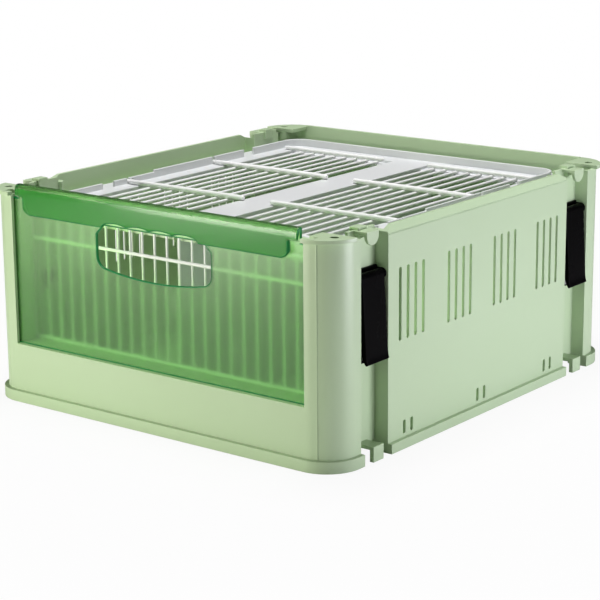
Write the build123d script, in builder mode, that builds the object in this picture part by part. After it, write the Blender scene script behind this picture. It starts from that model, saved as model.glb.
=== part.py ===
"""Knock-down pet carrier: two moulded end frames, two slotted side panels held by
swing levers, a lift-up front door, a wire door behind it, and a wire-topped lid.

Frame: +X to the carrier's right seen from the front, -Y out of the front, +Z up.
The origin is the middle of the footprint, on the surface that the carrier stands on.
"""
from build123d import *

import os
from math import cos, radians, sin

os.makedirs("parts", exist_ok=True)

# Overall box, millimetres
WIDTH = 378
DEPTH = 424
RIM_Z = 190
HALF_W = WIDTH / 2
HALF_D = DEPTH / 2
WALL = 3
CORNER_R = 28
GAP = 0.3

# Foot flange and top flange of the end frames
FOOT_OUT = 4
FOOT_H = 10
PANEL_FOOT_H = 8.5
TOP_FLANGE_Z = 185.5
TOP_FLANGE_T = 3.5
TOP_FLANGE_DEPTH = 30
FLANGE_TOP_Z = TOP_FLANGE_Z + TOP_FLANGE_T
FLANGE_HOLE_R = 3.5
FLANGE_HOLE_RADIUS = 21
FLANGE_HOLE_ANGLE = 35
CUT_OVER = 1
CUT_DEPTH = 12

# Latch channels between each corner post and its side panel
POST_SIDE = 36
CHANNEL_DEPTH = 13
PANEL_LENGTH = 278.6
PANEL_HALF = PANEL_LENGTH / 2
CHANNEL_Y = HALF_D - POST_SIDE
CHANNEL_X = HALF_W - CHANNEL_DEPTH
CHANNEL_MID = (CHANNEL_Y + PANEL_HALF) / 2
CHANNEL_W = CHANNEL_Y - PANEL_HALF

# Stacking tongue at the top of a channel, tooth at its foot
TONGUE_Y = 160.2
TONGUE_W = 16
TONGUE_DROP = 11.5
TOOTH_W = 14
TOOTH_H = 13
TOOTH_WEB = 3
TOOTH_T = 4
BLOCK_X = 175
BLOCK_Y = 161
BLOCK_L = 11
BLOCK_W = 9
BLOCK_Z = 191.5
BLOCK_H = 9
RECESS_X = 173.4
RECESS_Z = 187
RECESS_W = 3.6
RECESS_H = 5
RECESS_D = 3

# Front opening
OPENING_HALF = 159.4
SILL_Z = 52.3
GROOVE_DEPTH = 9
JAMB_T = GROOVE_DEPTH + WALL
DOOR_GROOVE_W = 3.6
WIRE_GROOVE_W = 4.4
WIRE_DEPTH = 27.5
WIRE_Y = -(HALF_D - WIRE_DEPTH)
MOUTH_W = 7
BEAM_H = 8
BEAM_D = 9

# Front door
DOOR_T = 3
DOOR_FACE_Y = -(HALF_D - WALL - GAP)
DOOR_HALF = 167.4
DOOR_NECK_HALF = 154.5
DOOR_EAR_Z = 183.5
DOOR_TOP_Z = 196
LIP_HALF = 147
LIP_OUT = 4.2
LIP_OUT_Y = DOOR_FACE_Y - LIP_OUT
LIP_BOTTOM_Z = 170
LIP_T = 2.2
LIP_ROOF_T = 3.5
LIP_ROOF_Z = 186
LIP_END_R = 11
LIP_PLAN_R = 3.5
GRIP_HALF = 50.4
GRIP_NOTCHES = 4
GRIP_OVERLAP = 2.4
GRIP_RISE = 5
HAND_HALF = 62.5
HAND_TOP_Z = 171
HAND_LOW_Z = 129.5
HAND_CORNER_Z = 134.5
HAND_R = 8
HAND_LOW_R = 9

# Wire door
WIRE_PITCH = 13.87
WIRE_COUNT = 22
WIRE_R = 1.2
LEVEL_R = 1.5
RAIL_R = 1.7
WIRE_TOP_Z = 166
WIRE_MID_Z = 144

# Side panel vents
BIG_SLOT_H = 61.3
BIG_SLOT_TOP = 152.9
SLOT_W = 3.6
GROUP_PITCH = 70.66
GROUP_COUNT = 4
SLOTS_PER_GROUP = 4
SLOT_PITCH = 11
SMALL_SLOT_H = 11.8
SMALL_SLOT_TOP = 23
PAIR_PITCH = 110.6
PAIR_COUNT = 3
SLOTS_PER_PAIR = 2
SMALL_PITCH = 10.6
PANEL_BEVEL_Z = 183
PANEL_TOP_Z = 189
RIM_IN_X = 182
MITRE_L = 12
RIM_OUT_TOP_X = 185
RIM_GROOVE_W = 0.9
RIM_GROOVE_D = 0.7

# Lid: a tray frame with two wire mats
LID_Z = 168.5
LID_TOP_Z = 174
LID_HALF_W = 169.3
LID_FRONT = 178.5
LID_BACK = 200
UPSTAND_X = 152
UPSTAND_FRONT = 172
UPSTAND_BACK = 181
UPSTAND_T = 2.5
UPSTAND_TOP = 181.5
UPSTAND_STEP = 2
UPSTAND_STEP_Y = -34
UPSTAND_R = 16
NOTCH_YS = (-96.3, 105.8)
NOTCH_W = 15.4
WINDOW_IN = 19.7
WINDOW_OUT = 137.6
WINDOW_FRONT = 155
WINDOW_BACK = 153
BAR_REST_Z = 171
BAR_REST_END = 0.5
BAR_R = 1.5
BAR_COUNT = 8
BAR_FRONT = 165.5
BAR_BACK = 159
ROD_R = 2.3
ROD_YS = (-70, 52)
ROD_IN_X = 14.5
ROD_OUT_X = 150
ROD_PIN_R = 1.1
ROD_PIN_OUT_X = 156.5
END_ROD_R = 1.9
END_ROD_IN_X = 25
END_ROD_OUT_X = 147
WELD_SINK = 0.3
MAT_SLIDE = 5
MAT_LIFT = 0.5
SLOT_EASE = 0.4
LEDGE_T = 3
LEDGE_IN = 163

# Floor and divider
FLOOR_Z = 4
FLOOR_T = 3
FLOOR_RIM = 9
FLOOR_HALF_W = 168
FLOOR_BACK_HALF_W = 160
FLOOR_STEP_Y = 200
FLOOR_LEDGE = 5
DIVIDER_T = 3
DIVIDER_TOP = 164
GUIDE_D = 10
GUIDE_T = 2.5

# Swing-lever latch, drawn for the front right channel
PIVOT_INSET = 5.8
PIVOT_X = HALF_W - PIVOT_INSET
PIVOT_Z = 151
PIN_R = 2
PIN_FIT = 0.05
LEVER_W = 30.4
LEVER_EYE_R = 4.4
LEVER_T = 4.6
LEVER_FACE_LOW_X = 191
LEVER_LIP_Z = 96
LEVER_LOW_Z = 81.5
LIP_REACH_X = 192.9
LIP_TIP_H = 1.2
LIP_TIP_W = 2
CLAW_W = 10
CLAW_Z = 102
CLAW_H = 10
CLAW_IN_X = 168.6
LEVER_INNER_Z = 116
BRACKET_T = 2.4
BRACKET_LOW_Z = 79
BRACKET_TOP_Z = 157
EAR_T = 2.2
EAR_GAP = 0.4
CLAW_SLOT_W = 12
CLAW_SLOT_LOW = 90
CLAW_SLOT_HIGH = 109
TAB_T = 3
TAB_LOW_Z = 84
TAB_HIGH_Z = 118
TAB_REACH = 30
SCREW_R = 1.5
SCREW_HEAD_R = 3
SCREW_HEAD_T = 1.6
SCREW_L = 5
SCREW_LOW_Z = 84
SCREW_HIGH_Z = 128


def save(builder, name):
    """Label a finished piece and write it as one STEP file."""
    builder.part.label = name
    export_step(builder.part, f"parts/{name}.step")


# Plan outlines that the end frames share
with BuildSketch() as plan_outline:
    RectangleRounded(WIDTH, DEPTH, CORNER_R)

with BuildSketch() as plan_inner:
    RectangleRounded(WIDTH - 2 * WALL, DEPTH - 2 * WALL, CORNER_R - WALL)

with BuildSketch() as foot_outline:
    RectangleRounded(WIDTH + 2 * FOOT_OUT, DEPTH + 2 * FOOT_OUT, CORNER_R + FOOT_OUT)

# End of the carrier as far as the channels, used to trim the round outlines
END_W = WIDTH + 4 * FOOT_OUT
with BuildSketch() as end_zone:
    with Locations((0, -CHANNEL_Y)):
        Rectangle(END_W, POST_SIDE + 2 * FOOT_OUT, align=(Align.CENTER, Align.MAX))

with BuildSketch() as skin_plan:
    add(plan_outline.sketch)
    add(plan_inner.sketch, mode=Mode.SUBTRACT)
    add(end_zone.sketch, mode=Mode.INTERSECT)

with BuildSketch() as foot_plan:
    add(foot_outline.sketch)
    add(plan_inner.sketch, mode=Mode.SUBTRACT)
    add(end_zone.sketch, mode=Mode.INTERSECT)

# Top flange: a band round each corner, as deep as the flange and as wide as the post
with BuildSketch() as corner_band:
    add(foot_outline.sketch)
    with Locations((0, -(HALF_D + FOOT_OUT - TOP_FLANGE_DEPTH))):
        Rectangle(END_W, 2 * FOOT_OUT + DEPTH, align=(Align.CENTER, Align.MIN), mode=Mode.SUBTRACT)
    Rectangle(2 * OPENING_HALF, 2 * DEPTH, mode=Mode.SUBTRACT)

# One end of the carrier at -Y: skin, posts, channel walls, flanges, tongues and teeth
HOLE_X = HALF_W - CORNER_R + FLANGE_HOLE_RADIUS * cos(radians(FLANGE_HOLE_ANGLE))
HOLE_Y = -(HALF_D - CORNER_R + FLANGE_HOLE_RADIUS * sin(radians(FLANGE_HOLE_ANGLE)))
with BuildPart() as end_shell:
    extrude(skin_plan.sketch, amount=TOP_FLANGE_Z)
    extrude(foot_plan.sketch, amount=FOOT_H)
    with BuildSketch(Plane.XY.offset(TOP_FLANGE_Z)) as flange:
        add(corner_band.sketch)
    extrude(amount=TOP_FLANGE_T)
    # Return wall at the back of each post, and the channel's base wall
    with BuildSketch() as post_back:
        for side in (-1, 1):
            with Locations((side * (CHANNEL_X - WALL), -CHANNEL_Y)):
                post_align = (Align.MIN if side > 0 else Align.MAX, Align.MAX)
                Rectangle(CHANNEL_DEPTH + WALL, WALL, align=post_align)
    extrude(amount=TOP_FLANGE_Z)
    with BuildSketch(Plane.XY.offset(TOOTH_H - TOOTH_WEB)) as channel_base:
        for side in (-1, 1):
            with Locations((side * (CHANNEL_X - WALL / 2), -CHANNEL_Y)):
                Rectangle(WALL, CHANNEL_W - GAP, align=(Align.CENTER, Align.MIN))
    extrude(amount=FLANGE_TOP_Z - TOOTH_H + TOOTH_WEB)
    # Raised block over the head of each channel, with a recess in its front face
    for side in (-1, 1):
        with Locations((side * BLOCK_X, -BLOCK_Y, BLOCK_Z)):
            block_align = (Align.CENTER, Align.CENTER, Align.MAX)
            Box(BLOCK_W, BLOCK_L, BLOCK_H, align=block_align)
        with Locations((side * RECESS_X, -BLOCK_Y - BLOCK_L / 2, RECESS_Z)):
            Box(RECESS_W, 2 * RECESS_D, RECESS_H, mode=Mode.SUBTRACT)
    # Stacking tongue: a bridge out to the side plane with a rounded flap hanging from it
    with BuildSketch(Plane.XY.offset(FLANGE_TOP_Z - WALL)) as bridge:
        for side in (-1, 1):
            with Locations((side * (CHANNEL_X - WALL), -TONGUE_Y)):
                bridge_align = (Align.MIN if side > 0 else Align.MAX, Align.CENTER)
                Rectangle(CHANNEL_DEPTH + WALL, TONGUE_W, align=bridge_align)
    extrude(amount=WALL)
    with BuildSketch(Plane.YZ.offset(HALF_W - WALL)) as flap:
        with Locations((-TONGUE_Y, FLANGE_TOP_Z - TONGUE_DROP + TONGUE_W / 2)):
            Circle(TONGUE_W / 2)
            Rectangle(TONGUE_W, TONGUE_W, align=(Align.CENTER, Align.MIN), mode=Mode.SUBTRACT)
        with Locations((-TONGUE_Y, FLANGE_TOP_Z)):
            Rectangle(TONGUE_W, TONGUE_DROP - TONGUE_W / 2, align=(Align.CENTER, Align.MAX))
    flap_solid = extrude(amount=WALL)
    mirror(flap_solid, about=Plane.YZ)
    # Tooth at the channel's foot, held by a web from the base wall
    with BuildSketch(Plane.XY.offset(TOOTH_H - TOOTH_WEB)) as tooth_web:
        for side in (-1, 1):
            with Locations((side * (CHANNEL_X - WALL), -CHANNEL_MID)):
                web_align = (Align.MIN if side > 0 else Align.MAX, Align.CENTER)
                Rectangle(CHANNEL_DEPTH + WALL, TOOTH_W, align=web_align)
    extrude(amount=TOOTH_WEB)
    with BuildSketch(Plane.XY) as teeth:
        for side in (-1, 1):
            with Locations((side * (HALF_W + FOOT_OUT - TOOTH_T / 2), -CHANNEL_MID)):
                Rectangle(TOOTH_T, TOOTH_W)
    extrude(amount=TOOTH_H)
    # Round holes in the corner flanges, used to peg boxes together
    with Locations(*[(side * HOLE_X, HOLE_Y, FLANGE_TOP_Z) for side in (-1, 1)]):
        Hole(FLANGE_HOLE_R, depth=TOP_FLANGE_T)
    # Claw slots and screw holes through the channel walls
    for side in (-1, 1):
        with BuildSketch(Plane.YZ.offset(side * CHANNEL_X)) as wall_holes:
            with Locations((-CHANNEL_MID, (CLAW_SLOT_LOW + CLAW_SLOT_HIGH) / 2)):
                Rectangle(CLAW_SLOT_W, CLAW_SLOT_HIGH - CLAW_SLOT_LOW)
            with Locations(*[(-CHANNEL_MID, z) for z in (SCREW_LOW_Z, SCREW_HIGH_Z)]):
                Circle(SCREW_R)
        extrude(amount=2 * WALL, both=True, mode=Mode.SUBTRACT)

# Front frame: the shell with a door opening, jambs, sill and a top beam
with BuildPart() as front_frame:
    add(end_shell.part)
    # Opening through the front skin, open at the top
    with BuildSketch(Plane.XY.offset(SILL_Z)) as opening:
        with Locations((0, -HALF_D)):
            Rectangle(2 * OPENING_HALF, 3 * WALL)
    extrude(amount=RIM_Z, mode=Mode.SUBTRACT)
    # Jambs, from the front skin back to the post's return wall
    with BuildSketch() as jambs:
        for side in (-1, 1):
            with Locations((side * OPENING_HALF, -CHANNEL_Y)):
                jamb_align = (Align.MIN if side > 0 else Align.MAX, Align.MAX)
                Rectangle(JAMB_T, POST_SIDE - WALL / 2, align=jamb_align)
    extrude(amount=TOP_FLANGE_Z)
    # Box sill: a shelf and a rear skin behind the low front wall
    with BuildSketch() as sill_rear:
        with Locations((0, -CHANNEL_Y)):
            Rectangle(2 * CHANNEL_X, WALL, align=(Align.CENTER, Align.MAX))
    extrude(amount=SILL_Z)
    with BuildSketch(Plane.XY.offset(SILL_Z - WALL)) as sill_shelf:
        with Locations((0, -CHANNEL_Y)):
            Rectangle(2 * OPENING_HALF + WALL, POST_SIDE - WALL / 2, align=(Align.CENTER, Align.MAX))
    extrude(amount=WALL)
    # Beam under the lid's front edge
    with BuildSketch(Plane.XY.offset(LID_Z - BEAM_H)) as front_beam:
        with Locations((0, -CHANNEL_Y - WALL)):
            Rectangle(2 * CHANNEL_X, BEAM_D, align=(Align.CENTER, Align.MIN))
    extrude(amount=BEAM_H)
    # Grooves for the door and the wire door, open at the top
    door_groove_y = DOOR_FACE_Y + DOOR_T / 2
    for groove_y, groove_w in ((door_groove_y, DOOR_GROOVE_W), (WIRE_Y, WIRE_GROOVE_W)):
        with BuildSketch(Plane.XY.offset(SILL_Z)) as grooves:
            with Locations((0, groove_y)):
                Rectangle(2 * (OPENING_HALF + GROOVE_DEPTH), groove_w)
        extrude(amount=RIM_Z, mode=Mode.SUBTRACT)
    # Wide mouths in the top flanges, which lead the door into its grooves
    with BuildSketch(Plane.XY.offset(TOP_FLANGE_Z)) as mouths:
        with Locations((0, door_groove_y)):
            Rectangle(2 * (OPENING_HALF + GROOVE_DEPTH), MOUTH_W, align=(Align.CENTER, Align.CENTER))
    extrude(amount=RIM_Z, mode=Mode.SUBTRACT)
    # Ledge under the floor's front edge
    with BuildSketch(Plane.XY.offset(FLOOR_Z - LEDGE_T)) as front_floor_ledge:
        with Locations((0, -CHANNEL_Y - WALL / 2)):
            Rectangle(2 * FLOOR_HALF_W, FLOOR_LEDGE + WALL / 2, align=(Align.CENTER, Align.MIN))
    extrude(amount=LEDGE_T)
    # Guide for the divider's front edge
    with BuildSketch(Plane.XY.offset(LID_Z - BEAM_H)) as front_guide:
        with Locations((0, -CHANNEL_Y - WALL)):
            Rectangle(DIVIDER_T + 2 * GAP, 2 * (BEAM_D + CUT_OVER))
    extrude(amount=DIVIDER_TOP - LID_Z + BEAM_H + GAP, mode=Mode.SUBTRACT)
save(front_frame, "front_frame")

# Back frame: the same shell turned to the back, closed by a plain wall
with BuildPart() as back_frame:
    add(mirror(end_shell.part, about=Plane.XZ))
    with BuildSketch() as back_wall:
        with Locations((0, HALF_D)):
            Rectangle(WIDTH - 2 * CORNER_R, WALL, align=(Align.CENTER, Align.MAX))
    extrude(amount=RIM_Z)
    # Ledge that the lid's back edge rests on
    with BuildSketch(Plane.XY.offset(LID_Z - LEDGE_T)) as back_ledge:
        with Locations((0, HALF_D - WALL / 2)):
            Rectangle(2 * CHANNEL_X, HALF_D - WALL / 2 - CHANNEL_Y, align=(Align.CENTER, Align.MAX))
    extrude(amount=LEDGE_T)
    # Ledge under the floor's back edge
    with BuildSketch(Plane.XY.offset(FLOOR_Z - LEDGE_T)) as back_floor_ledge:
        with Locations((0, HALF_D - WALL / 2)):
            Rectangle(WIDTH - 2 * CORNER_R, FLOOR_LEDGE + WALL / 2, align=(Align.CENTER, Align.MAX))
    extrude(amount=LEDGE_T)
    # Two ribs that hold the divider's back edge
    with BuildSketch(Plane.XY.offset(FLOOR_Z + FLOOR_T + FLOOR_RIM + GAP)) as back_guide:
        for side in (-1, 1):
            with Locations((side * (DIVIDER_T / 2 + GAP + GUIDE_T / 2), HALF_D - WALL / 2)):
                Rectangle(GUIDE_T, GUIDE_D + WALL / 2, align=(Align.CENTER, Align.MAX))
    extrude(amount=LID_Z - LEDGE_T - FLOOR_Z - FLOOR_T - FLOOR_RIM)
save(back_frame, "back_frame")

# Side panel section: foot, outer skin, bevelled rim and the ledge under the lid
with BuildSketch(Plane.XZ) as panel_section:
    with BuildLine() as panel_line:
        Polyline(
            (HALF_W - WALL, 0),
            (HALF_W + FOOT_OUT, 0),
            (HALF_W + FOOT_OUT, PANEL_FOOT_H),
            (HALF_W, PANEL_FOOT_H),
            (HALF_W, PANEL_BEVEL_Z - RIM_GROOVE_W),
            (HALF_W - RIM_GROOVE_D, PANEL_BEVEL_Z - RIM_GROOVE_W / 2),
            (HALF_W, PANEL_BEVEL_Z),
            (RIM_OUT_TOP_X, PANEL_TOP_Z),
            (RIM_IN_X, PANEL_TOP_Z),
            (RIM_IN_X, LID_Z),
            (LEDGE_IN, LID_Z),
            (LEDGE_IN, LID_Z - LEDGE_T),
            (HALF_W - WALL, LID_Z - LEDGE_T),
            close=True,
        )
    make_face()

SLOT_YS = [
    (group - (GROUP_COUNT - 1) / 2) * GROUP_PITCH + (slot - (SLOTS_PER_GROUP - 1) / 2) * SLOT_PITCH
    for group in range(GROUP_COUNT)
    for slot in range(SLOTS_PER_GROUP)
]
SMALL_YS = [
    (pair - (PAIR_COUNT - 1) / 2) * PAIR_PITCH + (slot - (SLOTS_PER_PAIR - 1) / 2) * SMALL_PITCH
    for pair in range(PAIR_COUNT)
    for slot in range(SLOTS_PER_PAIR)
]

with BuildPart() as right_side_panel:
    extrude(panel_section.sketch, amount=PANEL_HALF, both=True)
    # Return walls that close both ends, and lock tabs behind the channel walls
    with BuildSketch() as returns:
        for end in (-1, 1):
            with Locations((CHANNEL_X - WALL - GAP - TAB_T, end * PANEL_HALF)):
                return_align = (Align.MIN, Align.MAX if end > 0 else Align.MIN)
                Rectangle(CHANNEL_DEPTH + GAP + TAB_T, WALL, align=return_align)
    extrude(amount=LID_Z - LEDGE_T)
    with BuildSketch(Plane.XY.offset(LID_Z - LEDGE_T)) as upper_returns:
        for end in (-1, 1):
            with Locations((CHANNEL_X - WALL - GAP - TAB_T, end * PANEL_HALF)):
                upper_align = (Align.MIN, Align.MAX if end > 0 else Align.MIN)
                Rectangle(CHANNEL_DEPTH + TAB_T - WALL / 2, WALL, align=upper_align)
    extrude(amount=PANEL_TOP_Z - LID_Z + LEDGE_T)
    # Rim ends mitred down to the bevel's foot
    for end in (-1, 1):
        with BuildSketch(Plane.YZ.offset(HALF_W)) as mitre:
            with BuildLine() as mitre_line:
                Polyline(
                    (end * (PANEL_HALF + CUT_OVER), PANEL_BEVEL_Z + CUT_OVER),
                    (end * (PANEL_HALF - MITRE_L), PANEL_TOP_Z + CUT_OVER),
                    (end * (PANEL_HALF + CUT_OVER), PANEL_TOP_Z + CUT_OVER),
                    close=True,
                )
            make_face()
        extrude(amount=-(HALF_W - LEDGE_IN), mode=Mode.SUBTRACT)
    with BuildSketch(Plane.XY.offset(TAB_LOW_Z)) as lock_tabs:
        for end in (-1, 1):
            with Locations((CHANNEL_X - WALL - GAP - TAB_T, end * (PANEL_HALF - WALL))):
                tab_align = (Align.MIN, Align.MIN if end > 0 else Align.MAX)
                Rectangle(TAB_T, TAB_REACH, align=tab_align)
    extrude(amount=TAB_HIGH_Z - TAB_LOW_Z)
    for end in (-1, 1):
        claw_slot_at = (CHANNEL_X - WALL, end * CHANNEL_MID, (CLAW_SLOT_LOW + CLAW_SLOT_HIGH) / 2)
        with Locations(claw_slot_at):
            Box(CUT_DEPTH, CLAW_SLOT_W, CLAW_SLOT_HIGH - CLAW_SLOT_LOW, mode=Mode.SUBTRACT)
    # Ledge under the floor's side edge
    with BuildSketch(Plane.XY.offset(FLOOR_Z - LEDGE_T)) as side_floor_ledge:
        with Locations((HALF_W - WALL / 2, 0)):
            side_align = (Align.MAX, Align.CENTER)
            Rectangle(FLOOR_LEDGE + WALL / 2, PANEL_LENGTH - 2 * WALL, align=side_align)
    extrude(amount=LEDGE_T)
    # Tall and short air slots through the skin
    with BuildSketch(Plane.YZ.offset(HALF_W)) as slots:
        with Locations(*[(y, BIG_SLOT_TOP - BIG_SLOT_H / 2) for y in SLOT_YS]):
            SlotOverall(BIG_SLOT_H, SLOT_W, rotation=90)
        with Locations(*[(y, SMALL_SLOT_TOP - SMALL_SLOT_H / 2) for y in SMALL_YS]):
            SlotOverall(SMALL_SLOT_H, SLOT_W, rotation=90)
    extrude(amount=-2 * WALL, mode=Mode.SUBTRACT)
save(right_side_panel, "right_side_panel")

with BuildPart() as left_side_panel:
    add(mirror(right_side_panel.part, about=Plane.YZ))
save(left_side_panel, "left_side_panel")

# Floor: a shallow tray that lies on the ledges of the frames and panels
FLOOR_FRONT = -(CHANNEL_Y - GAP)
FLOOR_BACK = HALF_D - WALL - GAP
FLOOR_WING_X = HALF_W - WALL - GAP
FLOOR_WING_Y = PANEL_HALF - WALL - GAP
with BuildSketch() as floor_outline:
    with Locations((0, FLOOR_FRONT)):
        floor_align = (Align.CENTER, Align.MIN)
        Rectangle(2 * FLOOR_HALF_W, FLOOR_STEP_Y - FLOOR_FRONT, align=floor_align)
        Rectangle(2 * FLOOR_BACK_HALF_W, FLOOR_BACK - FLOOR_FRONT, align=floor_align)
    Rectangle(2 * FLOOR_WING_X, 2 * FLOOR_WING_Y)

with BuildPart() as floor_panel:
    with BuildSketch(Plane.XY.offset(FLOOR_Z)) as floor_plan:
        add(floor_outline.sketch)
    extrude(amount=FLOOR_T)
    with BuildSketch(Plane.XY.offset(FLOOR_Z)) as floor_rim:
        add(floor_outline.sketch)
        offset(floor_outline.sketch, amount=-FLOOR_T, mode=Mode.SUBTRACT)
    extrude(amount=FLOOR_T + FLOOR_RIM)
save(floor_panel, "floor_panel")

# Centre divider: a plain sheet that drops into the guides of both frames
with BuildPart() as center_divider:
    with BuildSketch(Plane.YZ) as divider_side:
        with BuildLine() as divider_line:
            Polyline(
                (-CHANNEL_Y + GAP + FLOOR_T, FLOOR_Z + FLOOR_T),
                (FLOOR_BACK - FLOOR_T - GAP, FLOOR_Z + FLOOR_T),
                (FLOOR_BACK - FLOOR_T - GAP, DIVIDER_TOP),
                (-CHANNEL_Y + GAP, DIVIDER_TOP),
                (-CHANNEL_Y + GAP, FLOOR_Z + FLOOR_T + FLOOR_RIM + GAP),
                (-CHANNEL_Y + GAP + FLOOR_T, FLOOR_Z + FLOOR_T + FLOOR_RIM + GAP),
                close=True,
            )
        make_face()
    extrude(amount=DIVIDER_T / 2, both=True)
save(center_divider, "center_divider")

# Lid frame: a flat plate with two windows, a centre band and an upstand wall
LID_CENTER_Y = (LID_BACK - LID_FRONT) / 2
WINDOW_MID_X = (WINDOW_IN + WINDOW_OUT) / 2
BAR_Z = BAR_REST_Z + BAR_R + MAT_LIFT
ROD_Z = BAR_Z + BAR_R + ROD_R - WELD_SINK
END_ROD_Z = BAR_Z + BAR_R + END_ROD_R - WELD_SINK
with BuildPart() as lid_frame:
    with BuildSketch(Plane.XY.offset(LID_Z)) as lid_plan:
        with Locations((0, LID_CENTER_Y)):
            Rectangle(2 * LID_HALF_W, LID_FRONT + LID_BACK)
        for side in (-1, 1):
            with Locations((side * WINDOW_MID_X, (WINDOW_BACK - WINDOW_FRONT) / 2)):
                Rectangle(WINDOW_OUT - WINDOW_IN, WINDOW_FRONT + WINDOW_BACK, mode=Mode.SUBTRACT)
            with Locations((side * LID_HALF_W, -LID_FRONT)):
                notch_size = 2 * (LID_HALF_W - OPENING_HALF + GAP)
                Rectangle(notch_size, 2 * (LID_FRONT - CHANNEL_Y + GAP), mode=Mode.SUBTRACT)
    extrude(amount=LID_TOP_Z - LID_Z)
    # Rebates that the bars lie in, long enough for the mats to slide
    rebate_front = BAR_FRONT + BAR_REST_END
    rebate_back = BAR_BACK + MAT_SLIDE + BAR_REST_END
    with BuildSketch(Plane.XY.offset(BAR_REST_Z)) as rebates:
        for side in (-1, 1):
            with Locations((side * WINDOW_MID_X, (rebate_back - rebate_front) / 2)):
                Rectangle(WINDOW_OUT - WINDOW_IN, rebate_front + rebate_back)
    extrude(amount=LID_TOP_Z - BAR_REST_Z, mode=Mode.SUBTRACT)
    with BuildSketch(Plane.XY.offset(LID_Z)) as upstand:
        with Locations((0, (UPSTAND_BACK - UPSTAND_FRONT) / 2)):
            RectangleRounded(
                2 * (UPSTAND_X + UPSTAND_T),
                UPSTAND_FRONT + UPSTAND_BACK + 2 * UPSTAND_T,
                UPSTAND_R + UPSTAND_T,
            )
            RectangleRounded(
                2 * UPSTAND_X,
                UPSTAND_FRONT + UPSTAND_BACK,
                UPSTAND_R,
                mode=Mode.SUBTRACT,
            )
    extrude(amount=UPSTAND_TOP - LID_Z)
    # The front stretch of the wall is a little lower
    with Locations((0, UPSTAND_STEP_Y, UPSTAND_TOP - UPSTAND_STEP)):
        step_align = (Align.CENTER, Align.MAX, Align.MIN)
        Box(WIDTH, HALF_D, 2 * UPSTAND_STEP, align=step_align, mode=Mode.SUBTRACT)
    # L-shaped slots for the rods' pins: a leg down from the rim and a foot to the back
    foot_w = 2 * (ROD_PIN_R + SLOT_EASE) + MAT_SLIDE
    slot_w = 2 * (ROD_PIN_R + SLOT_EASE)
    for side in (-1, 1):
        for rod_y in ROD_YS:
            with Locations((side * (UPSTAND_X + UPSTAND_T / 2), rod_y + MAT_SLIDE / 2, ROD_Z)):
                Box(2 * UPSTAND_T, foot_w, slot_w, mode=Mode.SUBTRACT)
            with Locations((side * (UPSTAND_X + UPSTAND_T / 2), rod_y, ROD_Z)):
                leg_align = (Align.CENTER, Align.CENTER, Align.MIN)
                Box(2 * UPSTAND_T, slot_w, CUT_DEPTH, align=leg_align, mode=Mode.SUBTRACT)
    # Finger notches near both ends of the side walls, down to the plate
    for side in (-1, 1):
        for notch_y in NOTCH_YS:
            with Locations((side * (UPSTAND_X + UPSTAND_T / 2), notch_y, LID_TOP_Z)):
                notch_align = (Align.CENTER, Align.CENTER, Align.MIN)
                Box(2 * UPSTAND_T, NOTCH_W, CUT_DEPTH, align=notch_align, mode=Mode.SUBTRACT)
save(lid_frame, "lid_frame")

# Wire mats of the lid: bars along Y, two thick cross rods with end pins, two end rods
BAR_SPACING = (WINDOW_OUT - WINDOW_IN) / (BAR_COUNT + 1)
BAR_XS = [WINDOW_IN + BAR_SPACING * (bar + 1) for bar in range(BAR_COUNT)]
END_ROD_YS = (-(BAR_FRONT - END_ROD_R), BAR_BACK - END_ROD_R)

with BuildPart() as mat_right:
    with BuildSketch(Plane.XZ.offset(BAR_FRONT)) as bars:
        with Locations(*[(x, BAR_Z) for x in BAR_XS]):
            Circle(BAR_R)
    extrude(amount=-(BAR_FRONT + BAR_BACK))
    with BuildSketch(Plane.YZ.offset(ROD_IN_X)) as rods:
        with Locations(*[(rod_y, ROD_Z) for rod_y in ROD_YS]):
            Circle(ROD_R)
    extrude(amount=ROD_OUT_X - ROD_IN_X)
    with BuildSketch(Plane.YZ.offset(ROD_OUT_X - CUT_OVER)) as rod_pins:
        with Locations(*[(rod_y, ROD_Z) for rod_y in ROD_YS]):
            Circle(ROD_PIN_R)
    extrude(amount=ROD_PIN_OUT_X - ROD_OUT_X + CUT_OVER)
    with BuildSketch(Plane.YZ.offset(END_ROD_IN_X)) as end_rods:
        with Locations(*[(y, END_ROD_Z) for y in END_ROD_YS]):
            Circle(END_ROD_R)
    extrude(amount=END_ROD_OUT_X - END_ROD_IN_X)

with BuildPart() as lid_wires_right:
    add(mat_right.part)
save(lid_wires_right, "lid_wires_right")

with BuildPart() as lid_wires_left:
    add(mirror(mat_right.part, about=Plane.YZ))
save(lid_wires_left, "lid_wires_left")

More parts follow.
